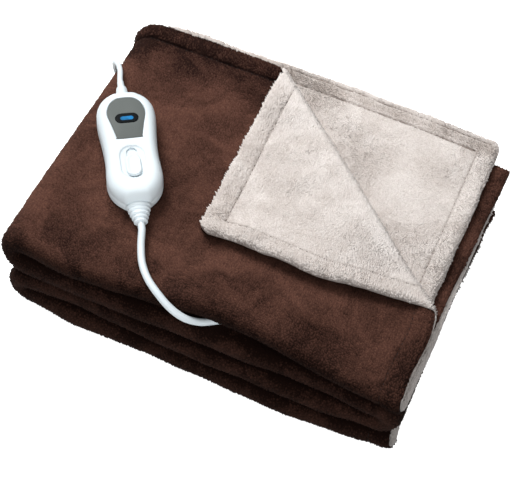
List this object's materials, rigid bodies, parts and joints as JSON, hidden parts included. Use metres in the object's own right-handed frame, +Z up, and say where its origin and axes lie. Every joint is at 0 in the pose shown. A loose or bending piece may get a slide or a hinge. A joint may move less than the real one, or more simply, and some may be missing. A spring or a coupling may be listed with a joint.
{
  "type": "electric heated blanket",
  "caption": "Plush heated throw folded into a thick rectangular pile with one corner turned back, a hand controller on top and a tied mains lead with plug.",
  "frame": {"origin": "on the surface the pile rests on, under the middle of the folded throw", "axes": "+X along the front edge towards the open hemmed side, +Y towards the back edge, +Z up"},
  "size_m": [0.4182, 0.3677, 0.1189],
  "materials": {
    "brown_plush": "short brushed pile, matt",
    "cream_plush": "short brushed pile, matt",
    "white_plastic": "satin to glossy moulded",
    "grey_plastic": "satin",
    "dark_window": "clear dark window",
    "white_lead": "smooth flexible sheath",
    "tie_strap": "woven strap",
    "plated_pins": "nickel plated"
  },
  "bodies": {
    "throw": {"face_panel": "brown_plush", "back_panel": "cream_plush", "controller_lower_shell": "white_plastic", "controller_upper_shell": "white_plastic", "controller_trim_plate": "grey_plastic", "controller_window": "dark_window", "mains_collar": "white_lead", "lead_relief": "white_lead", "blanket_lead": "white_lead", "mains_lead": "white_lead", "mains_lead_hank": "white_lead", "hank_tie": "tie_strap", "mains_lead_tail": "white_lead", "plug_relief": "white_lead", "plug_body": "white_plastic", "plug_pin_left": "plated_pins", "plug_pin_right": "plated_pins"},
    "slider": {"controller_slider": "white_plastic"}
  },
  "joints": [
    {"name": "slider_slide", "type": "slide", "parent": "throw", "child": "slider", "axis": [-0.5438, 0.8387, 0.0304], "range_m": [0, 0.009]}
  ]
}
